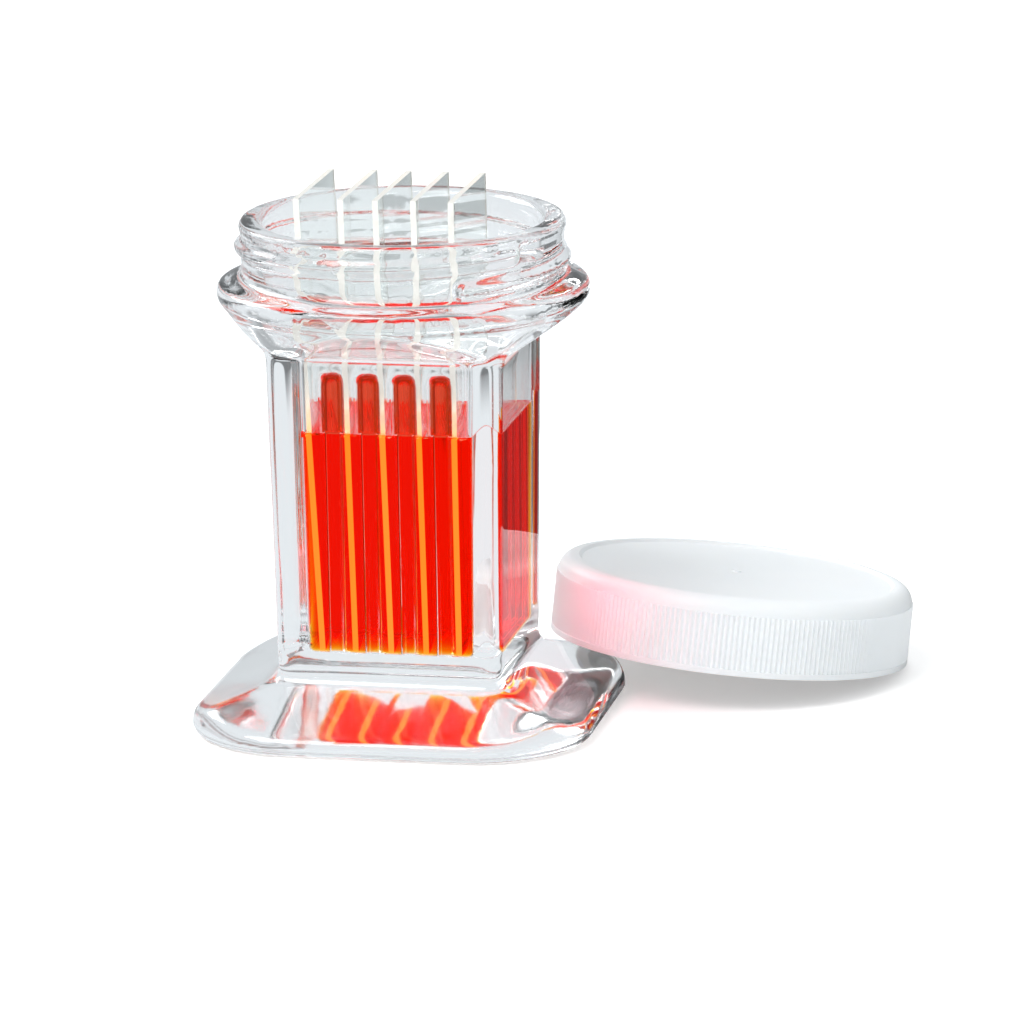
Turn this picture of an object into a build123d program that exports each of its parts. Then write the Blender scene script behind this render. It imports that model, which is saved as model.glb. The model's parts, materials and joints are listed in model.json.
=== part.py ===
from build123d import *
import os
from math import asin, atan, cos, degrees, hypot, pi, radians, sin

os.makedirs("parts", exist_ok=True)

# ================================================================ driving sizes (mm)
# standard glass slides, and how much room they have
slide_thick = 1.0
slide_width = 26.0
slide_length = 76.0
slide_side_gap = 0.55        # each long edge to the cavity's front or back wall
slide_floor_gap = 0.2
slide_foot_shift = (0.58, 0.07, 0.08, -0.12, -0.64)   # foot of each slide, off its slot's middle
slide_lean_gap = (0.17, 0.38, 0.27, 0.33, 0.29)       # left face to what the slide leans on
slide_shift_y = (0.0, 0.12, -0.1, 0.15, -0.05)

# ribs on the front and back walls that part the slides
rib_count = 4
rib_pitch = 6.07
rib_width = 2.6
rib_reach = 2.2
rib_round = 0.85
rib_root = 1.5               # how far a rib runs on into the wall
rib_top_drop = 3.0           # rib tops below the top of the cavity

# cavity
floor_z = 13.5
end_slot_half = 1.76         # middle of an end slot to the side wall
cavity_flare_x = 0.55        # how much each side wall leans out, bottom to top
cavity_flare_y = 0.3
cavity_corner = 1.2
cavity_floor_round = 0.8
stain_depth = 37.4

# body: an upright rectangular block, a little wider at the top
side_wall_low = 5.05
side_wall_top = 5.35
front_wall_low = 3.7
front_wall_top = 4.35
body_corner = 1.8
body_top_z = 64.2
body_sink = 1.0              # the block starts this far down inside the foot
cavity_top_drop = 0.9

# foot: rounded rectangle with a flat on each long side, top sloping up to the body
foot_side_reach = 15.2
foot_front_reach = 16.1
foot_corner = 20.0
foot_flat_cut = 0.3
foot_lean = 0.22             # inward lean of the side wall, mm for each mm of height
foot_side_slope = 0.33       # rise of the top towards the body, mm for each mm
foot_front_slope = 0.39
foot_joint_z = 9.0           # where the sloping top meets the body
foot_wall_top = 9.5          # the leaning wall is drawn up past the slopes
foot_low_round = 1.2

# shoulder, flange and round neck
bore_radius = 23.2
bore_flare = 0.9
neck_wall = 3.6
shoulder_height = 6.9
shoulder_corner_cut = 1.2    # the cone starts this far inside the body's corners
shoulder_rim_inset = 0.6     # and ends this far inside the flange
throat_rise = 0.6            # the round bore starts this far above the shoulder
throat_corner_cut = 0.5
throat_over_bore = 1.0
flange_reach = 4.2
flange_height = 3.0
flange_sink = 0.2
flange_slope_height = 1.2
flange_round = 1.0
neck_height = 7.3
lip_reach = 0.35
lip_height = 2.1
lip_step_height = 0.3
rim_round = 1.1

# one-start right-hand thread on the neck
thread_pitch = 4.5
thread_turns = 1.057
thread_start_deg = -56.5
thread_rise = 1.8            # start of the ridge above the foot of the neck
thread_round = 1.2
thread_sink = 0.05

# cap and its sealing disc
cap_height = 13.0
cap_top_thick = 1.7
cap_clearance = 1.2          # cap's bore over the lip of the neck
cap_wall = 2.35              # measured over the teeth
cap_crown_round = 2.6
cap_teeth = 220
cap_tooth_depth = 0.3
cap_tooth_margin = 0.2       # plain band between the teeth and the crown's round
cap_core_sink = 0.8          # the turned wall is cut back here and the toothed ring fills it
cap_ring_inset = 0.8         # the toothed ring starts this far outside the cap's bore
cap_bead_height = 1.0
cap_sunk_radius = 26.6
cap_sunk = 0.45
cap_sunk_bevel = 0.5
cap_gate_radius = 0.8
cap_gate_height = 0.25
liner_clearance = 0.75
liner_thick = 1.0

# where the cap lies: far rim on the table, near rim on the foot's back right slopes
cap_downhill_deg = 46.5
cap_contact_turn = 165.0     # rim point nearest the foot, counted from the downhill one
cap_contact_x = 3.32         # that point, out from the side of the body
cap_contact_y = 1.86
cap_foot_gap = 0.385

# ================================================================ sizes worked out from them
slot_half = (rib_pitch - rib_width) / 2
cavity_half_width_low = rib_pitch * rib_count / 2 + end_slot_half
cavity_half_width_top = cavity_half_width_low + cavity_flare_x
cavity_half_depth_low = slide_width / 2 + slide_side_gap
cavity_half_depth_top = cavity_half_depth_low + cavity_flare_y
body_half_width_low = cavity_half_width_low + side_wall_low
body_half_width_top = cavity_half_width_top + side_wall_top
body_half_depth_low = cavity_half_depth_low + front_wall_low
body_half_depth_top = cavity_half_depth_top + front_wall_top
foot_half_width = body_half_width_low + foot_side_reach
foot_half_depth = body_half_depth_low + foot_front_reach

cavity_top_z = body_top_z - cavity_top_drop
rib_top_z = cavity_top_z - rib_top_drop
shoulder_top_z = body_top_z + shoulder_height
throat_top_z = shoulder_top_z + throat_rise
flange_high_z = shoulder_top_z + flange_height
neck_low_z = flange_high_z + flange_slope_height
lip_low_z = neck_low_z + neck_height
rim_z = lip_low_z + lip_height
stain_level_z = floor_z + stain_depth
slide_foot_z = floor_z + slide_floor_gap

neck_radius = bore_radius + neck_wall
lip_radius = neck_radius + lip_reach
flange_radius = neck_radius + flange_reach
cap_bore = lip_radius + cap_clearance
cap_radius = cap_bore + cap_wall
cap_ceiling = cap_height - cap_top_thick
liner_radius = cap_bore - liner_clearance


# ================================================================ jar: foot
with BuildPart() as foot:
    with BuildSketch(Plane.XY):
        RectangleRounded(2 * (foot_half_width + foot_flat_cut), 2 * foot_half_depth, foot_corner)
        Rectangle(2 * foot_half_width, 2 * foot_half_depth, mode=Mode.INTERSECT)
    extrude(amount=foot_wall_top, taper=degrees(atan(foot_lean)))
    with BuildSketch(Plane.XY):
        side_run = foot_joint_z / foot_side_slope
        front_run = foot_joint_z / foot_front_slope
        Rectangle(2 * (body_half_width_low + side_run), 2 * (body_half_depth_low + front_run))
    with BuildSketch(Plane.XY.offset(foot_joint_z)):
        Rectangle(2 * body_half_width_low, 2 * body_half_depth_low)
    loft(mode=Mode.INTERSECT)
    fillet(foot.edges().group_by(Axis.Z)[0], radius=foot_low_round)


# ================================================================ jar: shoulder
with BuildPart() as shoulder:
    body_diagonal = hypot(body_half_width_top, body_half_depth_top)
    with BuildSketch(Plane.XZ):
        with BuildLine():
            Polyline(
                (0, body_top_z),
                (body_diagonal - shoulder_corner_cut, body_top_z),
                (flange_radius - shoulder_rim_inset, shoulder_top_z),
                (0, shoulder_top_z),
                close=True,
            )
        make_face()
    revolve(axis=Axis.Z)
    with BuildSketch(Plane.XY.offset(body_top_z)):
        RectangleRounded(2 * body_half_width_top, 2 * body_half_depth_top, body_corner)
    with BuildSketch(Plane.XY.offset(shoulder_top_z)):
        shoulder_reach = flange_radius + shoulder_rim_inset
        RectangleRounded(2 * shoulder_reach, 2 * shoulder_reach, body_corner)
    loft(mode=Mode.INTERSECT)


# ================================================================ jar: neck thread
with BuildPart() as neck_thread:
    with BuildLine() as neck_helix:
        Helix(
            pitch=thread_pitch,
            height=thread_pitch * thread_turns,
            radius=neck_radius - thread_sink,
        )
    with BuildSketch(Plane(neck_helix.line @ 0, z_dir=neck_helix.line % 0)):
        Circle(thread_round)
    sweep(is_frenet=True)
    with Locations(neck_helix.line @ 0, neck_helix.line @ 1):
        Sphere(thread_round)


# ================================================================ jar: hollow
with BuildPart() as cavity:
    with BuildSketch(Plane.XY.offset(floor_z)):
        RectangleRounded(2 * cavity_half_width_low, 2 * cavity_half_depth_low, cavity_corner)
    with BuildSketch(Plane.XY.offset(cavity_top_z)):
        RectangleRounded(2 * cavity_half_width_top, 2 * cavity_half_depth_top, cavity_corner)
    loft()
    fillet(cavity.edges().group_by(Axis.Z)[0], radius=cavity_floor_round)

with BuildPart() as throat:
    cavity_diagonal = hypot(cavity_half_width_top, cavity_half_depth_top)
    with BuildSketch(Plane.XZ):
        with BuildLine():
            Polyline(
                (0, cavity_top_z),
                (cavity_diagonal - throat_corner_cut, cavity_top_z),
                (bore_radius, throat_top_z),
                (0, throat_top_z),
                close=True,
            )
        make_face()
    revolve(axis=Axis.Z)
    with BuildSketch(Plane.XY.offset(cavity_top_z)):
        RectangleRounded(2 * cavity_half_width_top, 2 * cavity_half_depth_top, cavity_corner)
    with BuildSketch(Plane.XY.offset(throat_top_z)):
        throat_reach = bore_radius + throat_over_bore
        RectangleRounded(2 * throat_reach, 2 * throat_reach, cavity_corner)
    loft(mode=Mode.INTERSECT)

with BuildPart() as bore:
    with BuildSketch(Plane.XZ):
        with BuildLine():
            Polyline(
                (0, throat_top_z),
                (bore_radius, throat_top_z),
                (bore_radius, rim_z - bore_flare),
                (bore_radius + bore_flare, rim_z),
                (0, rim_z),
                close=True,
            )
        make_face()
    revolve(axis=Axis.Z)


# ================================================================ jar: one rib
with BuildPart() as rib:
    with BuildSketch(Plane.XZ.offset(cavity_half_depth_low - rib_reach)) as rib_face:
        with Locations((0, (rib_top_z + floor_z - rib_root) / 2)):
            Rectangle(rib_width, rib_top_z - floor_z + rib_root)
        fillet(rib_face.vertices().group_by(Axis.Y)[-1], radius=rib_round)
    extrude(amount=rib_reach + rib_root)
    fillet(rib.faces().sort_by(Axis.Y)[-1].edges().sort_by(Axis.Z)[1:], radius=rib_round)


# ================================================================ jar: put together
rib_places = [rib_pitch * (k - (rib_count - 1) / 2) for k in range(rib_count)]
rib_seats = [Location((x, 0, 0), (0, 0, turn)) for turn in (0, 180) for x in rib_places]

with BuildPart() as jar:
    add(foot.part)
    with BuildSketch(Plane.XY.offset(foot_joint_z - body_sink)):
        RectangleRounded(2 * body_half_width_low, 2 * body_half_depth_low, body_corner)
    with BuildSketch(Plane.XY.offset(body_top_z)):
        RectangleRounded(2 * body_half_width_top, 2 * body_half_depth_top, body_corner)
    loft()
    add(shoulder.part)
    with BuildSketch(Plane.XZ) as neck_profile:
        with BuildLine():
            Polyline(
                (0, shoulder_top_z - flange_sink),
                (flange_radius, shoulder_top_z - flange_sink),
                (flange_radius, flange_high_z),
                (neck_radius, neck_low_z),
                (neck_radius, lip_low_z),
                (lip_radius, lip_low_z + lip_step_height),
                (lip_radius, rim_z),
                (0, rim_z),
                close=True,
            )
        make_face()
        fillet(neck_profile.vertices().sort_by(Axis.X)[-2:], radius=flange_round)
        fillet(neck_profile.vertices().sort_by_distance((lip_radius, rim_z))[0], radius=rim_round)
    revolve(axis=Axis.Z)
    with Locations(Location((0, 0, neck_low_z + thread_rise), (0, 0, thread_start_deg))):
        add(neck_thread.part)
    add(cavity.part, mode=Mode.SUBTRACT)
    add(throat.part, mode=Mode.SUBTRACT)
    add(bore.part, mode=Mode.SUBTRACT)
    with Locations(rib_seats):
        add(rib.part)


# ================================================================ slides
def slide_at(number):
    """One slide, its foot in its slot, leaning left on a rib or, in the end slot, on the wall."""
    slot_x = rib_pitch * (number - rib_count / 2)
    rest_x = slot_x - slot_half
    rest_z = rib_top_z
    if number == 0:
        rest_x = -cavity_half_width_top
        rest_z = cavity_top_z
    low_x = slot_x + slide_foot_shift[number]
    leaning_x = rest_x + slide_lean_gap[number] + slide_thick / 2
    lean = atan((leaning_x - low_x) / (rest_z - slide_foot_z))
    mid_x = low_x + slide_length / 2 * sin(lean)
    mid_z = slide_foot_z + slide_length / 2 * cos(lean) + slide_thick / 2 * sin(abs(lean))
    with BuildPart() as slide:
        with Locations(Location((mid_x, slide_shift_y[number], mid_z), (0, degrees(lean), 0))):
            Box(slide_thick, slide_width, slide_length)
    return slide


slide_1 = slide_at(0)
slide_2 = slide_at(1)
slide_3 = slide_at(2)
slide_4 = slide_at(3)
slide_5 = slide_at(4)


# ================================================================ stain
with BuildPart() as stain:
    add(cavity.part)
    split(bisect_by=Plane.XY.offset(stain_level_z), keep=Keep.BOTTOM)
    with Locations(rib_seats):
        add(rib.part, mode=Mode.SUBTRACT)
    for slide in (slide_1, slide_2, slide_3, slide_4, slide_5):
        add(slide.part, mode=Mode.SUBTRACT)


# ================================================================ cap, built mouth down on z = 0
knurl_top = cap_height - cap_crown_round - cap_tooth_margin
tooth_turn = pi / cap_teeth
tooth_radii = (cap_radius, cap_radius - cap_tooth_depth)
tooth_ring = [
    (tooth_radii[k % 2] * cos(k * tooth_turn), tooth_radii[k % 2] * sin(k * tooth_turn))
    for k in range(2 * cap_teeth)
]

with BuildPart() as cap:
    with BuildSketch(Plane.XZ) as cap_profile:
        with BuildLine():
            Polyline(
                (0, cap_ceiling),
                (cap_bore, cap_ceiling),
                (cap_bore, 0),
                (cap_radius, 0),
                (cap_radius, cap_bead_height),
                (cap_radius - cap_core_sink, cap_bead_height),
                (cap_radius - cap_core_sink, knurl_top),
                (cap_radius - cap_tooth_depth, knurl_top),
                (cap_radius - cap_tooth_depth, cap_height),
                (cap_sunk_radius + cap_sunk_bevel, cap_height),
                (cap_sunk_radius, cap_height - cap_sunk),
                (0, cap_height - cap_sunk),
                close=True,
            )
        make_face()
        crown = cap_profile.vertices().sort_by_distance((cap_radius, cap_height))[0]
        fillet(crown, radius=cap_crown_round)
    revolve(axis=Axis.Z)
    with BuildSketch(Plane.XY.offset(cap_bead_height)):
        with BuildLine():
            Polyline(*tooth_ring, close=True)
        make_face()
        Circle(cap_bore + cap_ring_inset, mode=Mode.SUBTRACT)
    extrude(amount=knurl_top - cap_bead_height)
    with Locations((0, 0, cap_height - cap_sunk)):
        Cylinder(cap_gate_radius, 2 * cap_gate_height)

with BuildPart() as cap_liner:
    with Locations((0, 0, cap_ceiling)):
        Cylinder(liner_radius, liner_thick, align=(Align.CENTER, Align.CENTER, Align.MAX))


# ================================================================ cap: leaning on the foot
contact_turn = radians(cap_contact_turn)
contact_z = foot_joint_z - foot_side_slope * cap_contact_x + cap_foot_gap
tilt = asin(contact_z / (cap_radius * (1 - cos(contact_turn))))
heading = radians(cap_downhill_deg)
cap_axis = Vector(sin(tilt) * cos(heading), sin(tilt) * sin(heading), cos(tilt))
cap_down = Vector(cos(tilt) * cos(heading), cos(tilt) * sin(heading), -sin(tilt))
cap_side = cap_axis.cross(cap_down)
rim_point = Vector(body_half_width_low + cap_contact_x, body_half_depth_low + cap_contact_y, contact_z)
cap_centre = rim_point - (cap_down * cos(contact_turn) + cap_side * sin(contact_turn)) * cap_radius
cap_seat = Location(Plane(origin=cap_centre, x_dir=cap_down, z_dir=cap_axis))

with BuildPart() as cap_placed:
    with Locations(cap_seat):
        add(cap.part)

with BuildPart() as liner_placed:
    with Locations(cap_seat):
        add(cap_liner.part)


# ================================================================ one file for each piece
jar.part.label = "jar"
export_step(jar.part, "parts/jar.step")
stain.part.label = "stain"
export_step(stain.part, "parts/stain.step")
slide_1.part.label = "slide_1"
export_step(slide_1.part, "parts/slide_1.step")
slide_2.part.label = "slide_2"
export_step(slide_2.part, "parts/slide_2.step")
slide_3.part.label = "slide_3"
export_step(slide_3.part, "parts/slide_3.step")
slide_4.part.label = "slide_4"
export_step(slide_4.part, "parts/slide_4.step")
slide_5.part.label = "slide_5"
export_step(slide_5.part, "parts/slide_5.step")
cap_placed.part.label = "cap"
export_step(cap_placed.part, "parts/cap.step")
liner_placed.part.label = "cap_liner"
export_step(liner_placed.part, "parts/cap_liner.step")
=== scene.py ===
# %% [markdown]
# # A slide staining jar
# A pressed-glass jar with a rectangular trough holds five microscope slides in a deep orange-red stain, and
# its white screw cap leans on the foot beside it. The CAD model gives every piece at its real size and
# place. This lesson dresses it: clear glass, a coloured liquid that meets the glass without an air gap,
# ground slide edges and moulded plastic.

# %% Load the frame
import bpy
import json
import math
from mathutils import Matrix, Vector
from mathutils.bvhtree import BVHTree

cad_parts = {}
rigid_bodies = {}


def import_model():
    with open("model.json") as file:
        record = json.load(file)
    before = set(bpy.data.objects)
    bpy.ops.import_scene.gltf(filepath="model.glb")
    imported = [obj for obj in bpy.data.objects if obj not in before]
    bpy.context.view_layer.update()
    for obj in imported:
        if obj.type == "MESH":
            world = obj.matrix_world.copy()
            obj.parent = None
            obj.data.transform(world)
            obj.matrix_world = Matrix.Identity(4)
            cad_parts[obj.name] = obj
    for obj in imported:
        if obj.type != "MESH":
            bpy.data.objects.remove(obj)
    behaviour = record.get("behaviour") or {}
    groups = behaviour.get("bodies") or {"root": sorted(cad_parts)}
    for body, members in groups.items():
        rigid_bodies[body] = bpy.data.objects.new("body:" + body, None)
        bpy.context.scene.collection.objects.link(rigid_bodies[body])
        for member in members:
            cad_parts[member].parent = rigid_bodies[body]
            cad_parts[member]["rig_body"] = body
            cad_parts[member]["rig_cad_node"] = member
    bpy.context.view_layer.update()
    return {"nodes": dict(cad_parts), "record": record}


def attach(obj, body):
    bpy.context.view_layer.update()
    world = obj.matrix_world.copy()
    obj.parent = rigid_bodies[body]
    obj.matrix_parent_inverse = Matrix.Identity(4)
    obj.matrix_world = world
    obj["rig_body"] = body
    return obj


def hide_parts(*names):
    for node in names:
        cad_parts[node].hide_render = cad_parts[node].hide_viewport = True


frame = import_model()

MM = 0.001
nodes = frame["nodes"]
print("CAD nodes:", ", ".join(sorted(nodes)))

# %% [markdown]
# ## Camera
# A small glass object looks calm when it is seen from far away through a long lens, because near and far
# edges then have nearly the same size. The camera is set by an azimuth, an elevation and a distance around
# a target, with a slight roll, which is how one would describe the place of a tripod.

# %% Camera
CAMERA_TARGET = Vector((17.08, 3.52, 33.97)) * MM
CAMERA_AZIMUTH = math.radians(11.64)
CAMERA_ELEVATION = math.radians(13.81)
CAMERA_DISTANCE = 1135.2 * MM
CAMERA_ROLL = math.radians(-0.82)
CAMERA_LENS_MM = 239.0


def make_camera():
    """A tripod round the target: back out along the view line, then look at it and roll."""
    back = Vector((
        math.sin(CAMERA_AZIMUTH) * math.cos(CAMERA_ELEVATION),
        -math.cos(CAMERA_AZIMUTH) * math.cos(CAMERA_ELEVATION),
        math.sin(CAMERA_ELEVATION),
    ))
    level = Vector((math.cos(CAMERA_AZIMUTH), math.sin(CAMERA_AZIMUTH), 0))
    upright = back.cross(level)
    right = level * math.cos(CAMERA_ROLL) + upright * math.sin(CAMERA_ROLL)
    up = upright * math.cos(CAMERA_ROLL) - level * math.sin(CAMERA_ROLL)
    turn = Matrix((right, up, back)).transposed().to_4x4()
    bpy.ops.object.camera_add()
    camera = bpy.context.object
    camera.name = "camera"
    camera.matrix_world = Matrix.Translation(CAMERA_TARGET + back * CAMERA_DISTANCE) @ turn
    camera.data.lens = CAMERA_LENS_MM
    camera.data.sensor_width = 36
    camera.data.clip_start = 0.05
    camera.data.clip_end = 50
    bpy.context.scene.camera = camera
    return camera


camera = make_camera()
print("camera at", [round(c / MM) for c in camera.location], "mm")

# %% [markdown]
# ## Helpers for materials
# Colours are picked as sRGB hex values, the way they are read off a screen, and turned to the linear values
# that the renderer adds up. One small function adds a shader node with its settings and its links.

# %% Colour and node helpers


def linear(hex_colour):
    """'#rrggbb' in sRGB to linear red, green, blue and 1."""
    channels = [int(hex_colour[i:i + 2], 16) / 255 for i in (1, 3, 5)]
    return [c / 12.92 if c <= 0.04045 else ((c + 0.055) / 1.055) ** 2.4 for c in channels] + [1.0]


def add_node(tree, kind, settings=None, inputs=None):
    """Adds a node, sets its properties, then sets or links its input sockets."""
    node = tree.nodes.new(kind)
    for name, value in (settings or {}).items():
        setattr(node, name, value)
    for name, value in (inputs or {}).items():
        if isinstance(value, bpy.types.NodeSocket):
            tree.links.new(value, node.inputs[name])
        else:
            node.inputs[name].default_value = value
    return node


def new_material(name):
    """An empty node material and its output node."""
    material = bpy.data.materials.new(name)
    material.use_nodes = True
    material.node_tree.nodes.clear()
    output = material.node_tree.nodes.new("ShaderNodeOutputMaterial")
    return material, material.node_tree, output


def dress(piece, *materials):
    """Puts materials into a piece's slots, in order."""
    piece.data.materials.clear()
    for material in materials:
        piece.data.materials.append(material)


print("grey card:", [round(c, 3) for c in linear("#808080")])

# %% [markdown]
# ## Soda-lime glass
# The jar is pressed soda-lime glass: IOR near 1.5, no colour to speak of, and a surface that was fire-
# polished after it left the mould. Pressed glass is never quite flat, so a very low bump with waves some 15
# mm long bends the light a little. The foot gets less of the flame and stands on a belt while it cools, so
# it has shorter waves and a surface that blurs what is seen through it.

# %% Jar glass
GLASS_IOR = 1.5
WALL_WAVES = 0.02                # strength of the bump, on all of the jar and on its foot
FOOT_WAVES = 0.08
FOOT_ROUGHNESS = 0.07
FOOT_TOP = (7 * MM, 11 * MM)     # the foot's finish fades out between these heights
WAVE_DEPTH = 0.3 * MM


def make_jar_glass():
    """Clear glass with two bumps one after the other, the second and the roughness on the foot alone."""
    material, tree, output = new_material("soda_lime_glass_pressed")
    place = add_node(tree, "ShaderNodeTexCoord")
    waves = add_node(tree, "ShaderNodeTexNoise", {}, {
        "Vector": place.outputs["Object"], "Scale": 1 / (15 * MM), "Detail": 1.0})
    bump = add_node(tree, "ShaderNodeBump", {}, {
        "Height": waves.outputs["Fac"], "Strength": WALL_WAVES, "Distance": WAVE_DEPTH})
    height = add_node(tree, "ShaderNodeSeparateXYZ", {}, {"Vector": place.outputs["Object"]})
    foot = add_node(tree, "ShaderNodeMapRange", {"interpolation_type": "SMOOTHSTEP"}, {
        "Value": height.outputs["Z"], "From Min": FOOT_TOP[0], "From Max": FOOT_TOP[1],
        "To Min": 1.0, "To Max": 0.0})
    flow = add_node(tree, "ShaderNodeTexNoise", {}, {
        "Vector": place.outputs["Object"], "Scale": 1 / (4 * MM), "Detail": 1.0})
    swirl = add_node(tree, "ShaderNodeMath", {"operation": "MULTIPLY"}, {
        0: flow.outputs["Fac"], 1: foot.outputs["Result"]})
    foot_bump = add_node(tree, "ShaderNodeBump", {}, {
        "Height": swirl.outputs[0], "Strength": FOOT_WAVES, "Distance": WAVE_DEPTH,
        "Normal": bump.outputs["Normal"]})
    rough = add_node(tree, "ShaderNodeMath", {"operation": "MULTIPLY"}, {
        0: foot.outputs["Result"], 1: FOOT_ROUGHNESS})
    glass = add_node(tree, "ShaderNodeBsdfPrincipled", {}, {
        "Base Color": linear("#ffffff"), "Roughness": rough.outputs[0], "IOR": GLASS_IOR,
        "Transmission Weight": 1.0, "Normal": foot_bump.outputs["Normal"]})
    tree.links.new(glass.outputs["BSDF"], output.inputs["Surface"])
    return material


jar_glass = make_jar_glass()
dress(nodes["jar"], jar_glass)
print("jar faces:", len(nodes["jar"].data.polygons))

# %% [markdown]
# ## Soft edges of pressed glass
# Hot glass that is pressed in a mould never fills a sharp corner, and the fire polish that follows melts
# every edge a little more. The CAD jar has its true corners, so a copy of it is rebuilt from small voxels,
# which rounds each edge by about half a millimetre, and its foot, shoulder and outer walls are then
# smoothed where the real ones flowed most. The trough keeps its shape, because the slides and the stain
# have to fit it.

# %% Copy a CAD node and select by place


def deselect_all():
    """Leaves edit mode and drops the selection, because an operator acts on all that is selected."""
    if bpy.context.object and bpy.context.object.mode != "OBJECT":
        bpy.ops.object.mode_set(mode="OBJECT")
    bpy.ops.object.select_all(action="DESELECT")


def merged_copy(node, name):
    """A copy of a CAD node with its own mesh, its triangles joined at their shared corners."""
    deselect_all()
    piece = node.copy()
    piece.data = node.data.copy()
    piece.name = name
    piece.parent = None
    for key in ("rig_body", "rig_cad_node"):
        if key in piece:
            del piece[key]
    bpy.context.scene.collection.objects.link(piece)
    bpy.context.view_layer.objects.active = piece
    piece.select_set(True)
    bpy.ops.object.mode_set(mode="EDIT")
    bpy.ops.mesh.select_all(action="SELECT")
    bpy.ops.mesh.remove_doubles(threshold=0.002 * MM)
    bpy.ops.object.mode_set(mode="OBJECT")
    return piece


def select_parts(piece, kind, wanted):
    """Selects the points, edges or faces that the rule accepts, and leaves the piece in edit mode."""
    bpy.ops.object.mode_set(mode="EDIT")
    bpy.ops.mesh.select_mode(type=kind)
    bpy.ops.mesh.select_all(action="DESELECT")
    bpy.ops.object.mode_set(mode="OBJECT")
    mesh = piece.data
    for part in {"VERT": mesh.vertices, "EDGE": mesh.edges, "FACE": mesh.polygons}[kind]:
        part.select = wanted(part)
    bpy.ops.object.mode_set(mode="EDIT")


# %% Pressed jar
VOXEL = 0.65 * MM
TROUGH_FLOOR_Z = 13.5
TROUGH_TOP_Z = 63.3
NECK_FOOT_Z = 75.3
OUTER_WALL = (16.5, 15.5)        # past these the walls' outer faces lie, in x and y


def is_foot(point):
    return point.co.z / MM < TROUGH_FLOOR_Z - 1.0


def is_shoulder(point):
    return TROUGH_TOP_Z < point.co.z / MM < NECK_FOOT_Z - 0.5


def is_outer_wall(point):
    x, y, z = point.co / MM
    return z < TROUGH_TOP_Z and (abs(x) > OUTER_WALL[0] or abs(y) > OUTER_WALL[1])


pressed_jar = merged_copy(nodes["jar"], "pressed_jar")
remesh = pressed_jar.modifiers.new("voxels", "REMESH")
remesh.mode = "VOXEL"
remesh.voxel_size = VOXEL
bpy.ops.object.modifier_apply(modifier="voxels")
for rule, rounds in ((is_foot, 16), (is_shoulder, 6), (is_outer_wall, 3)):
    select_parts(pressed_jar, "VERT", rule)
    bpy.ops.mesh.vertices_smooth(factor=0.5, repeat=rounds)
    bpy.ops.object.mode_set(mode="OBJECT")
bpy.ops.object.shade_smooth()

# %% [markdown]
# Where stain wets the glass there is only one surface, from glass of IOR 1.5 straight to liquid of IOR
# 1.34, and it hardly mirrors at all. Two surfaces one after the other would mirror ten per cent and wash
# the colour out. So the wetted faces of the trough let light pass unchanged, and the stain's own surface,
# which lies just inside the glass, bends it by the ratio of the two IORs.

# %% Wetted faces of the trough
STAIN_LEVEL_Z = 50.9
TROUGH_HALF = (14.8, 14.2)       # half of the trough's width and depth, and a little more
FLOOR_DEPTH = 0.7                # how far under the trough's floor its rounded faces reach


def make_wetted_face():
    """Glass that lets light pass unchanged."""
    material, tree, output = new_material("glass_face_wetted_by_stain")
    passing = add_node(tree, "ShaderNodeBsdfTransparent")
    tree.links.new(passing.outputs["BSDF"], output.inputs["Surface"])
    return material


dress(pressed_jar, jar_glass, make_wetted_face())
wetted = 0
for face in pressed_jar.data.polygons:
    x, y, z = face.center / MM
    under_level = TROUGH_FLOOR_Z - FLOOR_DEPTH < z < STAIN_LEVEL_Z
    if abs(x) < TROUGH_HALF[0] and abs(y) < TROUGH_HALF[1] and under_level:
        face.material_index = 1
        wetted += 1
print("wetted faces:", wetted)
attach(pressed_jar, "root")
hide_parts("jar")
print("pressed jar faces:", len(pressed_jar.data.polygons))

# %% [markdown]
# ## The stain
# A liquid in a glass has no surface of its own against the wall: light goes straight from glass to liquid.
# A renderer that meets two surfaces at the same place gets that wrong, and a gap between them shows as a
# bright film of air. The usual cure is to let the liquid reach a few hundredths of a millimetre into the
# glass. So the closed solid of the stain is copied, its loose triangles are merged, and it is fattened
# along its normals. Beside the slides it is drawn back by less than that, so that no face of it lies inside
# a slide.

# %% Stain body
STAIN_OVERLAP = 0.06 * MM
SLIDE_OVERLAP = -0.02 * MM
slides = [nodes[f"slide_{k}"] for k in range(1, 6)]
slide_trees = [
    BVHTree.FromPolygons([v.co for v in slide.data.vertices], [p.vertices for p in slide.data.polygons])
    for slide in slides]


def near_slide(place, reach):
    """Whether a place lies within reach of one of the slides."""
    return any(tree.find_nearest(place, reach)[0] for tree in slide_trees)


stain_pool = merged_copy(nodes["stain"], "stain_pool")
exact = [point.co.copy() for point in stain_pool.data.vertices]
on_slide = [point.index for point in stain_pool.data.vertices if near_slide(point.co, 0.03 * MM)]
select_parts(stain_pool, "VERT", lambda point: True)
bpy.ops.transform.shrink_fatten(value=STAIN_OVERLAP, use_even_offset=True)
bpy.ops.object.mode_set(mode="OBJECT")
for index in on_slide:
    point = stain_pool.data.vertices[index]
    point.co = exact[index].lerp(point.co, SLIDE_OVERLAP / STAIN_OVERLAP)
print("stain faces:", len(stain_pool.data.polygons))

# %% [markdown]
# Water climbs a little where it meets glass. The level face is inset twice, each ring lower than the one
# before, which leaves its edge standing: a meniscus.

# %% Meniscus
MENISCUS = ((0.3, -0.22), (0.45, -0.12))      # two rings: how wide and how deep, in mm


def is_stain_level(face):
    return face.normal.z > 0.9 and face.center.z / MM > STAIN_LEVEL_Z - 0.5


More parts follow.
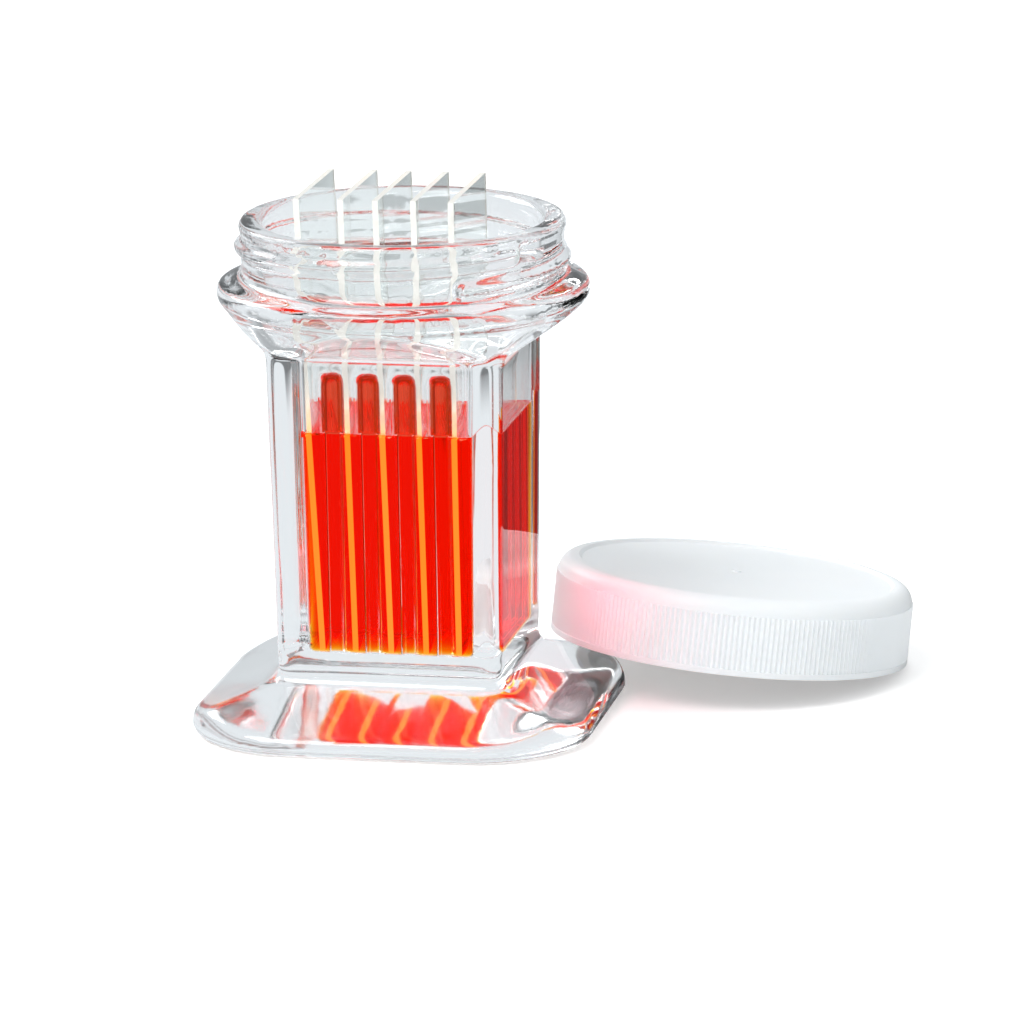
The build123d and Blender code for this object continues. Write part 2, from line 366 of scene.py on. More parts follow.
select_parts(stain_pool, "FACE", is_stain_level)
for width, depth in MENISCUS:
    bpy.ops.mesh.inset(thickness=width * MM, depth=depth * MM, use_even_offset=True)
bpy.ops.object.mode_set(mode="OBJECT")
bpy.ops.object.shade_smooth_by_angle(angle=math.radians(40))
print("stain faces with meniscus:", len(stain_pool.data.polygons))

# %% [markdown]
# The stain is a dye in water. It lets red through, takes green away within a few millimetres and blue at
# once. A weak painted glow on its surfaces stands for the little light that it scatters back. Three surfaces
# bound it: the level in air, the jar's glass and the slides. Where it wets a slide it has no surface of its
# own, and the slide bends the light.

# %% Stain materials
DYE = {"Color": linear("#ffe700"), "Density": 1.5 / MM}
# The glow colour and strength below are a painted glow: an emission on the stain's surfaces.
PAINTED_STAIN_GLOW_COLOUR = linear("#ff5900")
PAINTED_STAIN_GLOW = 0.052
WATER_IOR = 1.34


def make_stain_liquid():
    """The level, where the stain meets the air."""
    material, tree, output = new_material("orange_red_stain_in_water")
    # its emission is the stain's painted glow
    liquid = add_node(tree, "ShaderNodeBsdfPrincipled", {}, {
        "Base Color": linear("#ffffff"), "Roughness": 0.0, "IOR": WATER_IOR, "Transmission Weight": 1.0,
        "Emission Color": PAINTED_STAIN_GLOW_COLOUR, "Emission Strength": PAINTED_STAIN_GLOW})
    dye = add_node(tree, "ShaderNodeVolumeAbsorption", {}, DYE)
    tree.links.new(liquid.outputs["BSDF"], output.inputs["Surface"])
    tree.links.new(dye.outputs["Volume"], output.inputs["Volume"])
    return material


def make_stain_against_glass():
    """The same liquid where it wets the jar. Light comes out of glass, so the IOR is the ratio of the two."""
    material, tree, output = new_material("orange_red_stain_against_glass")
    liquid = add_node(tree, "ShaderNodeBsdfGlass", {}, {
        "Color": linear("#ffffff"), "Roughness": 0.0, "IOR": WATER_IOR / GLASS_IOR})
    # the stain's painted glow
    glow = add_node(tree, "ShaderNodeEmission", {}, {"Color": PAINTED_STAIN_GLOW_COLOUR, "Strength": PAINTED_STAIN_GLOW})
    both = add_node(tree, "ShaderNodeAddShader", {}, {
        0: liquid.outputs["BSDF"], 1: glow.outputs["Emission"]})
    dye = add_node(tree, "ShaderNodeVolumeAbsorption", {}, DYE)
    tree.links.new(both.outputs["Shader"], output.inputs["Surface"])
    tree.links.new(dye.outputs["Volume"], output.inputs["Volume"])
    return material


def make_stain_against_slide():
    """The same liquid where it wets a slide: the slide's own surface does the bending there."""
    material, tree, output = new_material("orange_red_stain_against_slide")
    open_way = add_node(tree, "ShaderNodeBsdfTransparent", {}, {"Color": linear("#ffffff")})
    dye = add_node(tree, "ShaderNodeVolumeAbsorption", {}, DYE)
    tree.links.new(open_way.outputs["BSDF"], output.inputs["Surface"])
    tree.links.new(dye.outputs["Volume"], output.inputs["Volume"])
    return material


dress(stain_pool, make_stain_liquid(), make_stain_against_glass(), make_stain_against_slide())
for face in stain_pool.data.polygons:
    by_slide = near_slide(face.center, 0.05 * MM)
    on_top = face.normal.z > 0.5 and face.center.z / MM > STAIN_LEVEL_Z - 1
    face.material_index = 2 if by_slide else 0 if on_top else 1
print("stain faces on top, on the jar, on slides:",
      [sum(face.material_index == slot for face in stain_pool.data.polygons) for slot in range(3)])
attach(stain_pool, "root")
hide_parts("stain")

# %% [markdown]
# ## Painted red light in the rib tops
# The ribs stand higher than the stain. Seen through the wall, each rib at the front shows as a deep red
# finger above the level: light from the stain below that the glass rib carries up. That light is painted. A
# block with a rounded top reaches through a rib's upper part to a tenth of a millimetre in front of its
# inner face, in the same kind of liquid with more absorption to the millimetre and a painted glow. It is
# modelled once and copied to the other ribs.

# %% Painted red light in the rib tops
RIB_PLACES = (-9.105, -3.035, 3.035, 9.105)
PAINTED_RED_WIDTH = 2.2
PAINTED_RED_FOOT_Z = STAIN_LEVEL_Z
PAINTED_RED_TOP_Z = 60.4
PAINTED_RED_FRONT_Y = -13.9
PAINTED_RED_BACK_Y = -11.25
PAINTED_RED_ROUND = 0.9
# The absorption, glow colour and glow strength below paint the red light in the rib tops.
PAINTED_RED_ABSORPTION = {"Color": linear("#f87c00"), "Density": 1.3 / MM}
PAINTED_RED_GLOW_COLOUR = linear("#ff8927")
PAINTED_RED_GLOW = 0.06


def make_rib_painted_red(name, x):
    """One block over the upper part of the rib at x, its two upper long edges rounded."""
    deselect_all()
    bpy.ops.mesh.primitive_cube_add(size=1)
    painted_red = bpy.context.object
    painted_red.name = name
    bpy.ops.object.mode_set(mode="EDIT")
    bpy.ops.transform.resize(value=(
        PAINTED_RED_WIDTH * MM, (PAINTED_RED_BACK_Y - PAINTED_RED_FRONT_Y) * MM, (PAINTED_RED_TOP_Z - PAINTED_RED_FOOT_Z) * MM))
    bpy.ops.transform.translate(value=(
        x * MM, (PAINTED_RED_FRONT_Y + PAINTED_RED_BACK_Y) / 2 * MM, (PAINTED_RED_FOOT_Z + PAINTED_RED_TOP_Z) / 2 * MM))
    bpy.ops.object.mode_set(mode="OBJECT")

    def is_top_edge(edge):
        a, b = (painted_red.data.vertices[i].co / MM for i in edge.vertices)
        return min(a.z, b.z) > PAINTED_RED_FOOT_Z + 1 and abs(a.x - b.x) < 0.01

    select_parts(painted_red, "EDGE", is_top_edge)
    bpy.ops.mesh.bevel(offset=PAINTED_RED_ROUND * MM, segments=6)
    bpy.ops.object.mode_set(mode="OBJECT")
    bpy.ops.object.shade_smooth_by_angle(angle=math.radians(35))
    return painted_red


def copy_painted_red(first, name, shift):
    """The same block at another rib, with a mesh of its own."""
    deselect_all()
    painted_red = first.copy()
    painted_red.data = first.data.copy()
    painted_red.name = name
    bpy.context.scene.collection.objects.link(painted_red)
    bpy.context.view_layer.objects.active = painted_red
    painted_red.select_set(True)
    bpy.ops.object.mode_set(mode="EDIT")
    bpy.ops.mesh.select_all(action="SELECT")
    bpy.ops.transform.translate(value=(shift * MM, 0, 0))
    bpy.ops.object.mode_set(mode="OBJECT")
    return painted_red


def make_painted_red_liquid():
    """Painted red light in a rib: strong absorption and a painted glow for the red the rib carries up."""
    material, tree, output = new_material("painted_red_light_in_ribs")
    liquid = add_node(tree, "ShaderNodeBsdfPrincipled", {}, {
        "Base Color": linear("#ffffff"), "Roughness": 0.0, "IOR": WATER_IOR, "Transmission Weight": 1.0,
        "Emission Color": PAINTED_RED_GLOW_COLOUR, "Emission Strength": PAINTED_RED_GLOW})
    dye = add_node(tree, "ShaderNodeVolumeAbsorption", {}, PAINTED_RED_ABSORPTION)
    tree.links.new(liquid.outputs["BSDF"], output.inputs["Surface"])
    tree.links.new(dye.outputs["Volume"], output.inputs["Volume"])
    return material


# One block of painted red light for each rib at the front.
painted_reds = [make_rib_painted_red("rib_painted_red_1", RIB_PLACES[0])]
for number, x in enumerate(RIB_PLACES[1:], 2):
    painted_reds.append(copy_painted_red(painted_reds[0], f"rib_painted_red_{number}", x - RIB_PLACES[0]))
painted_red_liquid = make_painted_red_liquid()
for painted_red in painted_reds:
    dress(painted_red, painted_red_liquid)
    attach(painted_red, "root")
# These blocks are painted red light in the rib tops.
print("ribs with painted red light:", len(painted_reds))

# %% [markdown]
# ## The slides
# A microscope slide is cut from thin sheet glass. Its two wide faces are as smooth as the sheet, and its
# narrow edges are ground, which leaves them fine-grained and whitish. One material serves both: it looks at
# which way the surface faces and is rough only on the edges. Light that enters the sheet travels inside it
# and leaves by the edges, so they shine: pale in the air, and warm and stronger in the stain. Such long
# paths are costly to trace, so a weak emission on the edges stands for them.

# %% Slide glass
SHEET_IOR = 1.52
EDGE_GRAIN = 0.25 * MM
EDGE_ROUGHNESS = (0.06, 0.16)
EDGE_CLEAR = 0.5                      # share of light that still passes through a ground edge
WET_EDGE_GLOW = 0.75
WET_EDGE_COLOUR = linear("#ffbc61")
DRY_EDGE_GLOW = 0.20
DRY_EDGE_COLOUR = linear("#fff4e4")
EDGE_FADE = (50 * MM, 58 * MM)        # from the wet look to the dry one between these heights


def make_slide_glass():
    """Sheet glass whose faces along X are smooth and whose other faces are ground and shine."""
    material, tree, output = new_material("sheet_glass_with_ground_edges")
    place = add_node(tree, "ShaderNodeTexCoord")
    facing = add_node(tree, "ShaderNodeSeparateXYZ", {}, {"Vector": place.outputs["Normal"]})
    across = add_node(tree, "ShaderNodeMath", {"operation": "ABSOLUTE"}, {0: facing.outputs["X"]})
    edge = add_node(tree, "ShaderNodeMath", {"operation": "LESS_THAN"}, {0: across.outputs[0], 1: 0.7})
    grain = add_node(tree, "ShaderNodeTexNoise", {}, {
        "Vector": place.outputs["Object"], "Scale": 1 / EDGE_GRAIN, "Detail": 3.0})
    ground = add_node(tree, "ShaderNodeMapRange", {}, {
        "Value": grain.outputs["Fac"], "From Min": 0.3, "From Max": 0.7,
        "To Min": EDGE_ROUGHNESS[0], "To Max": EDGE_ROUGHNESS[1]})
    rough = add_node(tree, "ShaderNodeMath", {"operation": "MULTIPLY"}, {
        0: ground.outputs["Result"], 1: edge.outputs[0]})
    height = add_node(tree, "ShaderNodeSeparateXYZ", {}, {"Vector": place.outputs["Object"]})
    dry = add_node(tree, "ShaderNodeMapRange", {"interpolation_type": "SMOOTHSTEP"}, {
        "Value": height.outputs["Z"], "From Min": EDGE_FADE[0], "From Max": EDGE_FADE[1]})
    piped = add_node(tree, "ShaderNodeMapRange", {}, {
        "Value": dry.outputs["Result"], "To Min": WET_EDGE_GLOW, "To Max": DRY_EDGE_GLOW})
    edge_light = add_node(tree, "ShaderNodeMix", {"data_type": "RGBA"}, {"Factor": dry.outputs["Result"]})
    edge_light.inputs["A"].default_value = WET_EDGE_COLOUR
    edge_light.inputs["B"].default_value = DRY_EDGE_COLOUR
    glow = add_node(tree, "ShaderNodeMath", {"operation": "MULTIPLY"}, {
        0: edge.outputs[0], 1: piped.outputs["Result"]})
    clear = add_node(tree, "ShaderNodeMapRange", {}, {
        "Value": edge.outputs[0], "To Min": 1.0, "To Max": EDGE_CLEAR})
    glass = add_node(tree, "ShaderNodeBsdfPrincipled", {}, {
        "Base Color": linear("#fbfffd"), "Roughness": rough.outputs[0], "IOR": SHEET_IOR,
        "Transmission Weight": clear.outputs["Result"],
        "Emission Color": edge_light.outputs["Result"], "Emission Strength": glow.outputs[0]})
    tree.links.new(glass.outputs["BSDF"], output.inputs["Surface"])
    return material


slide_glass = make_slide_glass()
for slide in slides:
    dress(slide, slide_glass)
print("slides:", len(slides))

# %% [markdown]
# ## The cap
# The cap is injection-moulded polypropylene: white, a little translucent, with the satin surface that a
# spark-eroded mould leaves. Subsurface scattering keeps its shadows soft, as the real plastic does.

# %% Cap plastic


def make_cap_plastic():
    """White plastic with a satin grain and faint flow marks."""
    material, tree, output = new_material("polypropylene_white_moulded")
    place = add_node(tree, "ShaderNodeTexCoord")
    grain = add_node(tree, "ShaderNodeTexNoise", {}, {
        "Vector": place.outputs["Object"], "Scale": 1 / (0.2 * MM), "Detail": 4.0})
    flow = add_node(tree, "ShaderNodeTexNoise", {}, {
        "Vector": place.outputs["Object"], "Scale": 1 / (18 * MM), "Detail": 2.0})
    tint = add_node(tree, "ShaderNodeMix", {"data_type": "RGBA"}, {"Factor": flow.outputs["Fac"]})
    tint.inputs["A"].default_value = linear("#eef4f8")
    tint.inputs["B"].default_value = linear("#f3f8fb")
    shine = add_node(tree, "ShaderNodeMapRange", {}, {
        "Value": grain.outputs["Fac"], "To Min": 0.34, "To Max": 0.46})
    bump = add_node(tree, "ShaderNodeBump", {}, {
        "Height": grain.outputs["Fac"], "Strength": 0.15, "Distance": 0.01 * MM})
    plastic = add_node(tree, "ShaderNodeBsdfPrincipled", {}, {
        "Base Color": tint.outputs["Result"], "Roughness": shine.outputs["Result"], "IOR": 1.49,
        "Subsurface Weight": 0.25, "Subsurface Radius": (1.2, 1.1, 1.0), "Subsurface Scale": 1.0 * MM,
        "Normal": bump.outputs["Normal"]})
    tree.links.new(plastic.outputs["BSDF"], output.inputs["Surface"])
    return material


def make_liner_foam():
    """The soft disc in the cap: closed cells show as tiny dimples."""
    material, tree, output = new_material("polyethylene_foam_disc")
    place = add_node(tree, "ShaderNodeTexCoord")
    cells = add_node(tree, "ShaderNodeTexVoronoi", {}, {
        "Vector": place.outputs["Object"], "Scale": 1 / (0.4 * MM)})
    bump = add_node(tree, "ShaderNodeBump", {}, {
        "Height": cells.outputs["Distance"], "Strength": 0.3, "Distance": 0.05 * MM})
    foam = add_node(tree, "ShaderNodeBsdfPrincipled", {}, {
        "Base Color": linear("#ecebe6"), "Roughness": 0.7, "Normal": bump.outputs["Normal"]})
    tree.links.new(foam.outputs["BSDF"], output.inputs["Surface"])
    return material


dress(nodes["cap"], make_cap_plastic())
dress(nodes["cap_liner"], make_liner_foam())
print("cap faces:", len(nodes["cap"].data.polygons))

# %% [markdown]
# ## The thread in the cap
# The thread that grips the neck is a low ridge, just over one turn long, on the inside of the cap's wall. A
# small profile is swept along a helix: the Screw modifier turns it round the axis and lifts it by one pitch
# a turn, counter-clockwise and up, which makes a right-hand thread. Its two ends sink into the wall, as
# moulded threads do, and then it is carried to the place of the cap's mouth.

# %% Cap thread
THREAD_PITCH = 4.5
THREAD_TURNS = 1.05
CAP_BORE_R = 28.35
CAP_CREST_R = 27.45
ROOT_IN_WALL = 0.2          # how far the ridge's root reaches into the wall
ROOT_WIDTH = 1.9
CREST_SHARE = 0.5           # width of the crest as a share of the root's
THREAD_START_Z = 2.6
THREAD_STEPS = 100
THREAD_FADE = 0.12          # share of the height over which each end sinks
THREAD_SINK = 0.9


def make_cap_thread():
    """A flat profile swept along the helix, its ends sunk and closed, then set into the cap's mouth."""
    root_r = CAP_BORE_R + ROOT_IN_WALL
    middle_r = (root_r + CAP_CREST_R) / 2
    deselect_all()
    bpy.ops.mesh.primitive_plane_add(size=1)
    ridge = bpy.context.object
    ridge.name = "cap_thread"
    bpy.ops.object.mode_set(mode="EDIT")
    bpy.ops.transform.rotate(value=math.pi / 2, orient_axis="X", center_override=(0, 0, 0))
    bpy.ops.transform.resize(value=((root_r - CAP_CREST_R) * MM, 1, ROOT_WIDTH * MM))
    bpy.ops.transform.translate(value=(middle_r * MM, 0, THREAD_START_Z * MM))
    bpy.ops.object.mode_set(mode="OBJECT")
    select_parts(ridge, "VERT", lambda point: point.co.x / MM < middle_r)
    bpy.ops.transform.resize(value=(1, 1, CREST_SHARE), center_override=(
        CAP_CREST_R * MM, 0, THREAD_START_Z * MM))
    bpy.ops.mesh.select_all(action="SELECT")
    bpy.ops.mesh.delete(type="ONLY_FACE")
    bpy.ops.object.mode_set(mode="OBJECT")
    sweep = ridge.modifiers.new("sweep", "SCREW")
    sweep.angle = THREAD_TURNS * 2 * math.pi
    sweep.screw_offset = THREAD_TURNS * THREAD_PITCH * MM
    sweep.steps = sweep.render_steps = THREAD_STEPS
    bpy.ops.object.modifier_apply(modifier="sweep")
    low, high = (edge(point.co.z for point in ridge.data.vertices) for edge in (min, max))
    for point in ridge.data.vertices:
        share = (point.co.z - low) / (high - low)
        sink = max(0.0, 1 - min(share, 1 - share) / THREAD_FADE)
        radius = math.hypot(point.co.x, point.co.y)
        point.co.xy *= 1 + sink * THREAD_SINK * MM / radius
    select_parts(ridge, "FACE", lambda face: True)
    bpy.ops.mesh.select_mode(type="EDGE")
    bpy.ops.mesh.select_all(action="DESELECT")
    bpy.ops.mesh.select_non_manifold()
    bpy.ops.mesh.fill()
    bpy.ops.mesh.select_all(action="SELECT")
    bpy.ops.mesh.normals_make_consistent(inside=False)
    bpy.ops.object.mode_set(mode="OBJECT")
    bpy.ops.object.shade_smooth_by_angle(angle=math.radians(50))
    mouth = next(mount for mount in frame["record"]["mounts"] if mount["name"] == "cap_thread")
    up = -Vector(mouth["axis"]).normalized()
    turn = up.to_track_quat("Z", "Y").to_matrix().to_4x4()
    ridge.matrix_world = Matrix.Translation(Vector(mouth["pos_m"])) @ turn
    deselect_all()
    ridge.select_set(True)
    bpy.ops.object.transform_apply(location=True, rotation=True, scale=True)
    return ridge


cap_thread = make_cap_thread()
dress(cap_thread, nodes["cap"].data.materials[0])
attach(cap_thread, "root")
print("thread faces:", len(cap_thread.data.polygons))

# %% [markdown]
# ## Studio
# Glass is lit by what stands behind it, so it stands on a white table in front of a white wall, with black
# cards out of view on both sides: bright field light. The wall and table pass through the glass as a pale
# grey, and the cards draw thin dark lines along its edges. The camera sees the table and the world as plain
# white. The front half of the room is dark, and that is what the glass mirrors. Cards and room could be
# real pieces, but then they would stand in the way of other views, so one formula gives the colour of each
# direction.

# %% Studio light as one formula
WHITE_WALL = linear("#ecf2f6")[:3]    # how bright the wall and table look through the glass
CARD_EDGE = (0.75, 0.92)          # sideways share of a direction where a side card begins and is full
ROOM_EDGE = (0.1, -0.5)           # the same for the room in front, counted along Y
ROOM_LEVEL = (0.04, 0.35)         # how bright that room is in a reflection, and through the glass


def studio_colour(tree, direction, far, open_side, in_mirror):
    """The colour that glass and reflections see in a direction: wall, black cards and dark room."""
    paths = add_node(tree, "ShaderNodeLightPath")
    through = paths.outputs["Is Transmission Ray"]
    parts = add_node(tree, "ShaderNodeSeparateXYZ", {}, {"Vector": direction})
    ahead = add_node(tree, "ShaderNodeMapRange", {"interpolation_type": "SMOOTHSTEP"}, {
        "Value": parts.outputs["Y"], "From Min": ROOM_EDGE[0], "From Max": ROOM_EDGE[1]})
    front = add_node(tree, "ShaderNodeMath", {"operation": "MULTIPLY"}, {0: far, 1: ahead.outputs["Result"]})
    room_loss = add_node(tree, "ShaderNodeMapRange", {}, {
        "Value": through, "To Min": 1 - ROOM_LEVEL[0], "To Max": 1 - ROOM_LEVEL[1]})
    dark = add_node(tree, "ShaderNodeMath", {"operation": "MULTIPLY"}, {
        0: front.outputs[0], 1: room_loss.outputs["Result"]})
    bright = add_node(tree, "ShaderNodeMath", {"operation": "SUBTRACT"}, {0: 1.0, 1: dark.outputs[0]})
    lit = add_node(tree, "ShaderNodeMath", {"operation": "MULTIPLY"}, {0: open_side, 1: bright.outputs[0]})
    share = add_node(tree, "ShaderNodeMath", {"operation": "MAXIMUM"}, {0: in_mirror, 1: through})
    level = add_node(tree, "ShaderNodeMath", {"operation": "MULTIPLY"}, {
        0: lit.outputs[0], 1: share.outputs[0]})
    around = add_node(tree, "ShaderNodeVectorMath", {"operation": "SCALE"}, {
        0: WHITE_WALL, "Scale": level.outputs[0]})
    seen = add_node(tree, "ShaderNodeMix", {"data_type": "RGBA"}, {
        "Factor": paths.outputs["Is Camera Ray"], "A": around.outputs[0], "B": (1, 1, 1, 1)})
    return seen.outputs["Result"], paths


# %% [markdown]
# The table gives diffuse light and takes the soft shadows of the jar and the cap, as matt white paper does.
# What glass sees of it comes from the same formula, with a black card flat on the table behind the jar on
# the right, which draws the dark patch in that corner of the foot.

# %% Table
FLOOR_SIZE = 6.0
TABLE_GLOW = 0.35                    # light of its own, so that the open table reads as white to the camera
FOOT_CLEAR = (0.035, 0.065)          # from here to here the dark room begins to show in the table
SIDE_CARD_LEVEL = 0.45               # dark cards on both sides of the table
SIDE_CARD_START = (0.12, 0.35)
BACK_CARD_ACROSS = (1, -0.2, 0)      # direction across the black card that lies behind on the right
BACK_CARD_EDGE = (1 * MM, 10 * MM)
BACK_CARD_LEVEL = 0.05               # what a plain reflection sees of it
FAR_CARD_EDGE = (5 * MM, 13 * MM)
FAR_CARD_START = (240 * MM, 300 * MM)
FAR_CARD_LOSS = 0.75                 # share of light that the same card takes away behind the glass


def make_floor():
    """A pale sheet for the camera and for diffuse light, and the studio formula for everything glassy."""
    deselect_all()
    bpy.ops.mesh.primitive_plane_add(size=FLOOR_SIZE, location=(0, 0, -0.05 * MM))
    floor = bpy.context.object
    floor.name = "table"
    material, tree, output = new_material("white_paper_sweep")
    place = add_node(tree, "ShaderNodeNewGeometry")
    position = place.outputs["Position"]
    direction = add_node(tree, "ShaderNodeVectorMath", {"operation": "NORMALIZE"}, {0: position})
    distance = add_node(tree, "ShaderNodeVectorMath", {"operation": "LENGTH"}, {0: position})
    across = add_node(tree, "ShaderNodeVectorMath", {"operation": "DOT_PRODUCT"}, {
        0: position, 1: BACK_CARD_ACROSS})
    spot = add_node(tree, "ShaderNodeSeparateXYZ", {}, {"Vector": position})
    sideways = add_node(tree, "ShaderNodeSeparateXYZ", {}, {"Vector": direction.outputs["Vector"]})
    aside = add_node(tree, "ShaderNodeMath", {"operation": "ABSOLUTE"}, {0: sideways.outputs["X"]})
    far = add_node(tree, "ShaderNodeMapRange", {"interpolation_type": "SMOOTHSTEP"}, {
        "Value": distance.outputs["Value"], "From Min": FOOT_CLEAR[0], "From Max": FOOT_CLEAR[1]})
    card = add_node(tree, "ShaderNodeMapRange", {"interpolation_type": "SMOOTHSTEP"}, {
        "Value": aside.outputs[0], "From Min": CARD_EDGE[0], "From Max": CARD_EDGE[1]})
    card_loss = add_node(tree, "ShaderNodeMapRange", {"interpolation_type": "SMOOTHSTEP"}, {
        "Value": distance.outputs["Value"], "From Min": SIDE_CARD_START[0], "From Max": SIDE_CARD_START[1],
        "To Min": 0.0, "To Max": 1 - SIDE_CARD_LEVEL})
    side_loss = add_node(tree, "ShaderNodeMath", {"operation": "MULTIPLY"}, {
        0: card.outputs["Result"], 1: card_loss.outputs["Result"]})
    open_table = add_node(tree, "ShaderNodeMath", {"operation": "SUBTRACT"}, {
        0: 1.0, 1: side_loss.outputs[0]})
    far_card = add_node(tree, "ShaderNodeMapRange", {"interpolation_type": "SMOOTHSTEP"}, {
        "Value": across.outputs["Value"], "From Min": FAR_CARD_EDGE[0], "From Max": FAR_CARD_EDGE[1]})
    far_start = add_node(tree, "ShaderNodeMapRange", {"interpolation_type": "SMOOTHSTEP"}, {
        "Value": spot.outputs["Y"], "From Min": FAR_CARD_START[0], "From Max": FAR_CARD_START[1],
        "To Min": 0.0, "To Max": FAR_CARD_LOSS})
    far_loss = add_node(tree, "ShaderNodeMath", {"operation": "MULTIPLY"}, {
        0: far_card.outputs["Result"], 1: far_start.outputs["Result"]})
    open_back = add_node(tree, "ShaderNodeMath", {"operation": "SUBTRACT"}, {0: 1.0, 1: far_loss.outputs[0]})
    open_side = add_node(tree, "ShaderNodeMath", {"operation": "MULTIPLY"}, {
        0: open_table.outputs[0], 1: open_back.outputs[0]})
    in_mirror = add_node(tree, "ShaderNodeMapRange", {"interpolation_type": "SMOOTHSTEP"}, {
        "Value": across.outputs["Value"], "From Min": BACK_CARD_EDGE[0], "From Max": BACK_CARD_EDGE[1],
        "To Min": 1.0, "To Max": BACK_CARD_LEVEL})
    colour, paths = studio_colour(tree, direction.outputs["Vector"], far.outputs["Result"],
                                  open_side.outputs[0], in_mirror.outputs["Result"])
    shine = add_node(tree, "ShaderNodeMath", {"operation": "MULTIPLY"}, {
        0: paths.outputs["Is Camera Ray"], 1: TABLE_GLOW})
    paper = add_node(tree, "ShaderNodeBsdfPrincipled", {}, {
        "Base Color": linear("#f2f2f2"), "Roughness": 0.9, "Specular IOR Level": 0.1,
        "Emission Color": (1, 1, 1, 1), "Emission Strength": shine.outputs[0]})
    glow = add_node(tree, "ShaderNodeEmission", {}, {"Color": colour})
    glassy = add_node(tree, "ShaderNodeMath", {"operation": "MAXIMUM"}, {
        0: paths.outputs["Is Glossy Ray"], 1: paths.outputs["Is Transmission Ray"]})
    direct = add_node(tree, "ShaderNodeMath", {"operation": "LESS_THAN"}, {
        0: paths.outputs["Diffuse Depth"], 1: 0.5})
    lit = add_node(tree, "ShaderNodeMath", {"operation": "MULTIPLY"}, {
        0: glassy.outputs[0], 1: direct.outputs[0]})
    sheet = add_node(tree, "ShaderNodeMixShader", {}, {
        "Fac": lit.outputs[0], 1: paper.outputs["BSDF"], 2: glow.outputs["Emission"]})
    tree.links.new(sheet.outputs["Shader"], output.inputs["Surface"])
    dress(floor, material)


make_floor()
print("table:", FLOOR_SIZE, "m wide")

# %% [markdown]
# The world carries the formula to the wall and the ceiling, for glass and for reflections. Diffuse surfaces
# get one even light from all round instead, so that the cap and the table stay bright.

# %% World
WALL_CARD_LEVEL = 0.35          # the side cards, higher up than the table
MIRROR_HEIGHT = (0.3, 0.5)      # height in a direction between a low and a high reflection
MIRROR_LEVEL = (0.45, 0.12)     # share of the wall that a plain reflection sees there
AMBIENT = 0.74                  # plain light from all round for everything that isn't glass


def make_world():
    """The studio formula for glass and reflections, and plain light for diffuse surfaces."""
    world = bpy.data.worlds.new("white_studio")
    bpy.context.scene.world = world
    world.use_nodes = True
    tree = world.node_tree
    tree.nodes.clear()
    output = tree.nodes.new("ShaderNodeOutputWorld")
    place = add_node(tree, "ShaderNodeTexCoord")
    sideways = add_node(tree, "ShaderNodeSeparateXYZ", {}, {"Vector": place.outputs["Generated"]})
    aside = add_node(tree, "ShaderNodeMath", {"operation": "ABSOLUTE"}, {0: sideways.outputs["X"]})
    open_wall = add_node(tree, "ShaderNodeMapRange", {"interpolation_type": "SMOOTHSTEP"}, {
        "Value": aside.outputs[0], "From Min": CARD_EDGE[0], "From Max": CARD_EDGE[1],
        "To Min": 1.0, "To Max": WALL_CARD_LEVEL})
    in_mirror = add_node(tree, "ShaderNodeMapRange", {"interpolation_type": "SMOOTHSTEP"}, {
        "Value": sideways.outputs["Z"], "From Min": MIRROR_HEIGHT[0], "From Max": MIRROR_HEIGHT[1],
        "To Min": MIRROR_LEVEL[0], "To Max": MIRROR_LEVEL[1]})
    colour, paths = studio_colour(tree, place.outputs["Generated"], 1.0,
                                  open_wall.outputs["Result"], in_mirror.outputs["Result"])
    diffuse = add_node(tree, "ShaderNodeMath", {"operation": "GREATER_THAN"}, {
        0: paths.outputs["Diffuse Depth"], 1: 0.5})
    sky = add_node(tree, "ShaderNodeMix", {"data_type": "RGBA"}, {
        "Factor": diffuse.outputs[0], "A": colour, "B": (AMBIENT, AMBIENT, AMBIENT, 1)})
    light = add_node(tree, "ShaderNodeBackground", {}, {"Color": sky.outputs["Result"], "Strength": 1.0})
    tree.links.new(light.outputs["Background"], output.inputs["Surface"])


make_world()
print("world:", bpy.context.scene.world.name)

# %% [markdown]
# ## Lamps
# Two large softboxes, above on the left and low on the left behind, shape the cap with soft shadows and
# draw pale lines on the glass.

# %% Softboxes


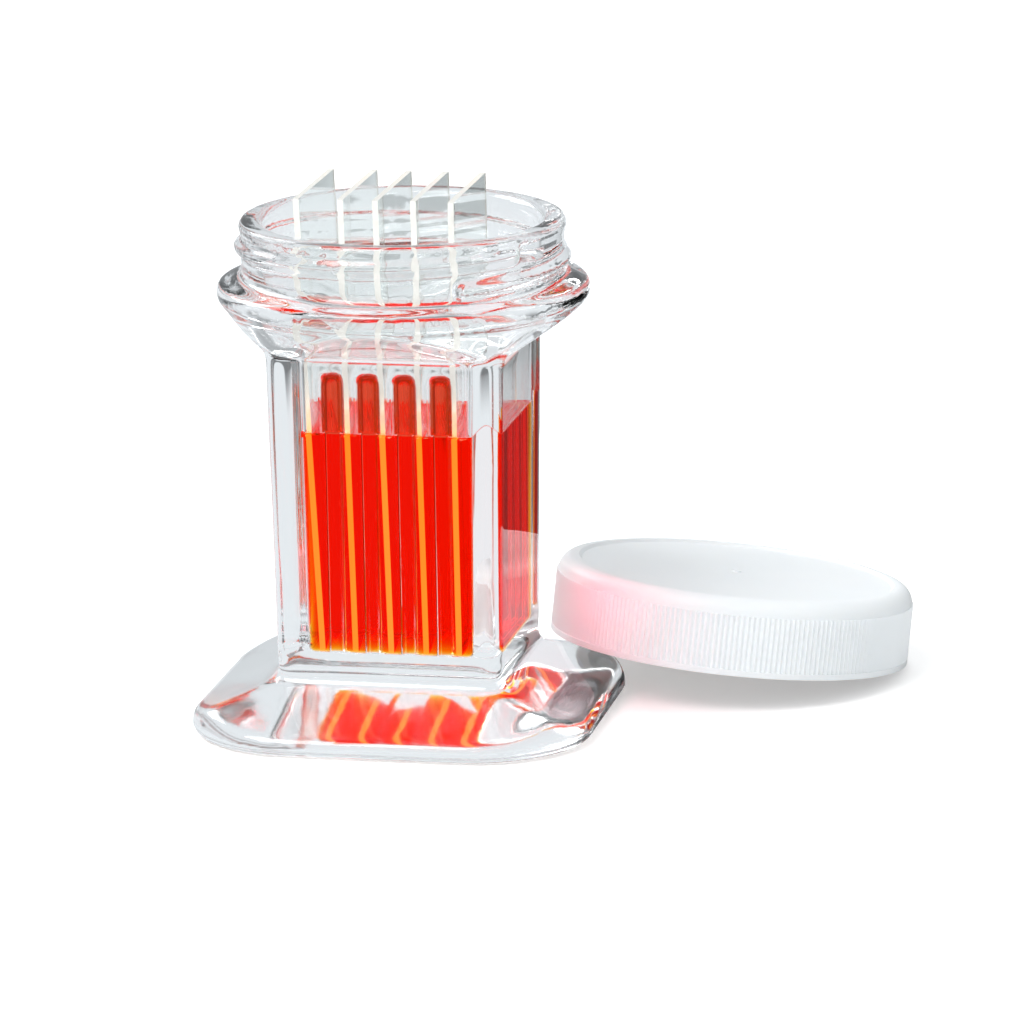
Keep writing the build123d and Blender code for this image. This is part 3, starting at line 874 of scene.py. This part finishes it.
def soft_lamp(name, azimuth, elevation, distance, size, power):
    """A square softbox that looks at the middle of the object."""
    a, e = math.radians(azimuth), math.radians(elevation)
    back = Vector((math.sin(a) * math.cos(e), -math.cos(a) * math.cos(e), math.sin(e)))
    bpy.ops.object.light_add(type="AREA")
    lamp = bpy.context.object
    lamp.name = name
    lamp.location = CAMERA_TARGET + back * distance
    lamp.rotation_mode = "QUATERNION"
    lamp.rotation_quaternion = back.to_track_quat("Z", "Y")
    lamp.data.size = size
    lamp.data.energy = power
    return lamp


soft_lamp("key_softbox", -40, 55, 0.9, 0.5, 5.2)
soft_lamp("side_softbox", -112, 35, 0.9, 0.5, 4.0)
print("softboxes: 2")

# %% [markdown]
# The stain throws red light on the cap beside it. That light passes liquid, glass and air, which a renderer
# finds only after a very long time, so a small red lamp at the jar's wall stands for it. It lights diffuse
# surfaces alone and can't be seen in the glass.

# %% Red light from the stain
RED_LAMP_PLACE = Vector((21, 0, 22)) * MM
RED_LAMP_BACK = Vector((-20, -30, 12))      # it shines the other way, at the cap's near wall


def stain_glow():
    """A small soft lamp between the jar and the cap."""
    bpy.ops.object.light_add(type="AREA")
    lamp = bpy.context.object
    lamp.name = "stain_glow"
    lamp.location = RED_LAMP_PLACE
    lamp.rotation_mode = "QUATERNION"
    lamp.rotation_quaternion = RED_LAMP_BACK.to_track_quat("Z", "Y")
    lamp.data.size = 12 * MM
    lamp.data.color = linear("#ff8195")[:3]
    lamp.data.energy = 0.0035
    for ray in ("camera", "glossy", "transmission"):
        setattr(lamp, f"visible_{ray}", False)
    return lamp


print("red lamp at", [round(c / MM) for c in stain_glow().location], "mm")

# %% [markdown]
# ## Light paths
# Glass, stain, slides, stain and glass lie one behind the other, so a ray crosses some twenty surfaces
# before it reaches the wall. With fewer bounces the middle of the jar would go dark.

# %% Colour management and light paths
scene = bpy.context.scene
scene.view_settings.view_transform = "Standard"
scene.cycles.max_bounces = 20
scene.cycles.transmission_bounces = 20
scene.cycles.transparent_max_bounces = 32
scene.cycles.glossy_bounces = 8
